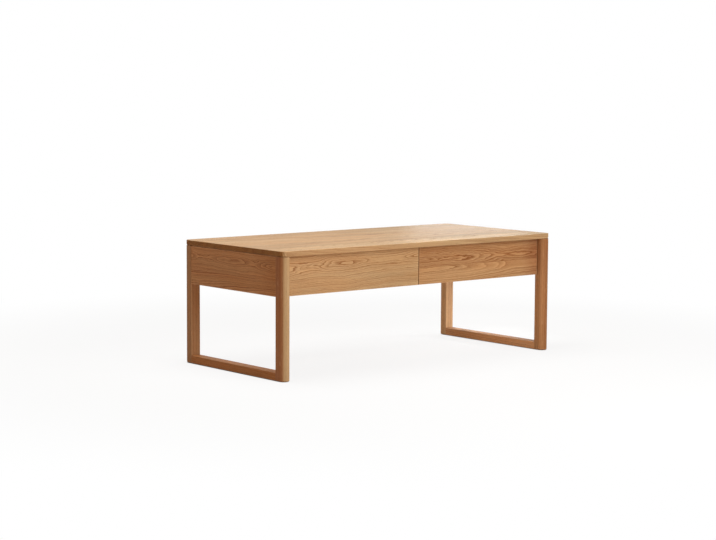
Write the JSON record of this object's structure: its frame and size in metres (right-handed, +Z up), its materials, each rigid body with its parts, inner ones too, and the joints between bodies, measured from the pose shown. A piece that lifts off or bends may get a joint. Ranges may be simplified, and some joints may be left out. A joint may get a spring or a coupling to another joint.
{
  "type": "coffee table with drawers",
  "caption": "Low oak coffee table on half-round legs joined by foot rails, with handleless drawers side by side under a thin top on full-extension ball-bearing slides.",
  "frame": {"origin": "on the floor under the middle of the table", "axes": "+X along the length to the right seen from the drawers, +Y from the drawer fronts to the rear, +Z up"},
  "size_m": [1.2, 0.55, 0.42],
  "materials": {
    "oak": "clear matt lacquer",
    "inner_wood": "thin matt lacquer",
    "ply": "sanded plywood",
    "zinc_steel": "bright zinc plated",
    "bearing_steel": "polished balls in steel cages",
    "screw_steel": "zinc plated",
    "felt": "pressed felt"
  },
  "bodies": {
    "frame": {"batten_screws": "screw_steel", "bracket_screws": "screw_steel", "case_channel_screws": "screw_steel", "centre_divider": "inner_wood", "front_left_leg": "oak", "front_left_pad": "felt", "front_right_leg": "oak", "front_right_pad": "felt", "front_top_rail": "inner_wood", "left_end_panel": "oak", "left_foot_rail": "oak", "left_inner_case_channel": "zinc_steel", "left_outer_case_channel": "zinc_steel", "left_slide_batten": "inner_wood", "rear_left_leg": "oak", "rear_left_pad": "felt", "rear_panel": "oak", "rear_right_leg": "oak", "rear_right_pad": "felt", "right_end_panel": "oak", "right_foot_rail": "oak", "right_inner_case_channel": "zinc_steel", "right_outer_case_channel": "zinc_steel", "right_slide_batten": "inner_wood", "table_top": "oak", "top_brackets": "zinc_steel", "top_rail_screws": "screw_steel"},
    "left_drawer": {"left_box_back": "inner_wood", "left_box_bottom": "ply", "left_box_front": "inner_wood", "left_box_inner_side": "inner_wood", "left_box_outer_side": "inner_wood", "left_drawer_channel_screws": "screw_steel", "left_drawer_front": "oak", "left_front_screws": "screw_steel", "left_inner_drawer_channel": "zinc_steel", "left_outer_drawer_channel": "zinc_steel"},
    "right_drawer": {"right_box_back": "inner_wood", "right_box_bottom": "ply", "right_box_front": "inner_wood", "right_box_inner_side": "inner_wood", "right_box_outer_side": "inner_wood", "right_drawer_channel_screws": "screw_steel", "right_drawer_front": "oak", "right_front_screws": "screw_steel", "right_inner_drawer_channel": "zinc_steel", "right_outer_drawer_channel": "zinc_steel"},
    "left_middle_channels": {"left_inner_middle_channel": "zinc_steel", "left_outer_middle_channel": "zinc_steel"},
    "right_middle_channels": {"right_inner_middle_channel": "zinc_steel", "right_outer_middle_channel": "zinc_steel"},
    "left_case_cages": {"left_case_ball_cages": "bearing_steel"},
    "right_case_cages": {"right_case_ball_cages": "bearing_steel"},
    "left_drawer_cages": {"left_drawer_ball_cages": "bearing_steel"},
    "right_drawer_cages": {"right_drawer_ball_cages": "bearing_steel"}
  },
  "joints": [
    {"name": "left_drawer_slide", "type": "slide", "parent": "frame", "child": "left_drawer", "axis": [0, -1, 0], "range_m": [0, 0.38]},
    {"name": "left_middle_slide", "type": "slide", "parent": "frame", "child": "left_middle_channels", "axis": [0, -1, 0], "range_m": [0, 0.19]},
    {"name": "left_case_cage_roll", "type": "slide", "parent": "frame", "child": "left_case_cages", "axis": [0, -1, 0], "range_m": [0, 0.095]},
    {"name": "left_drawer_cage_roll", "type": "slide", "parent": "frame", "child": "left_drawer_cages", "axis": [0, -1, 0], "range_m": [0, 0.285]},
    {"name": "right_drawer_slide", "type": "slide", "parent": "frame", "child": "right_drawer", "axis": [0, -1, 0], "range_m": [0, 0.38]},
    {"name": "right_middle_slide", "type": "slide", "parent": "frame", "child": "right_middle_channels", "axis": [0, -1, 0], "range_m": [0, 0.19]},
    {"name": "right_case_cage_roll", "type": "slide", "parent": "frame", "child": "right_case_cages", "axis": [0, -1, 0], "range_m": [0, 0.095]},
    {"name": "right_drawer_cage_roll", "type": "slide", "parent": "frame", "child": "right_drawer_cages", "axis": [0, -1, 0], "range_m": [0, 0.285]}
  ],
  "couplings": [
    {"joint": "left_middle_slide", "follows": "left_drawer_slide", "ratio": 0.5},
    {"joint": "left_case_cage_roll", "follows": "left_drawer_slide", "ratio": 0.25},
    {"joint": "left_drawer_cage_roll", "follows": "left_drawer_slide", "ratio": 0.75},
    {"joint": "right_middle_slide", "follows": "right_drawer_slide", "ratio": 0.5},
    {"joint": "right_case_cage_roll", "follows": "right_drawer_slide", "ratio": 0.25},
    {"joint": "right_drawer_cage_roll", "follows": "right_drawer_slide", "ratio": 0.75}
  ]
}
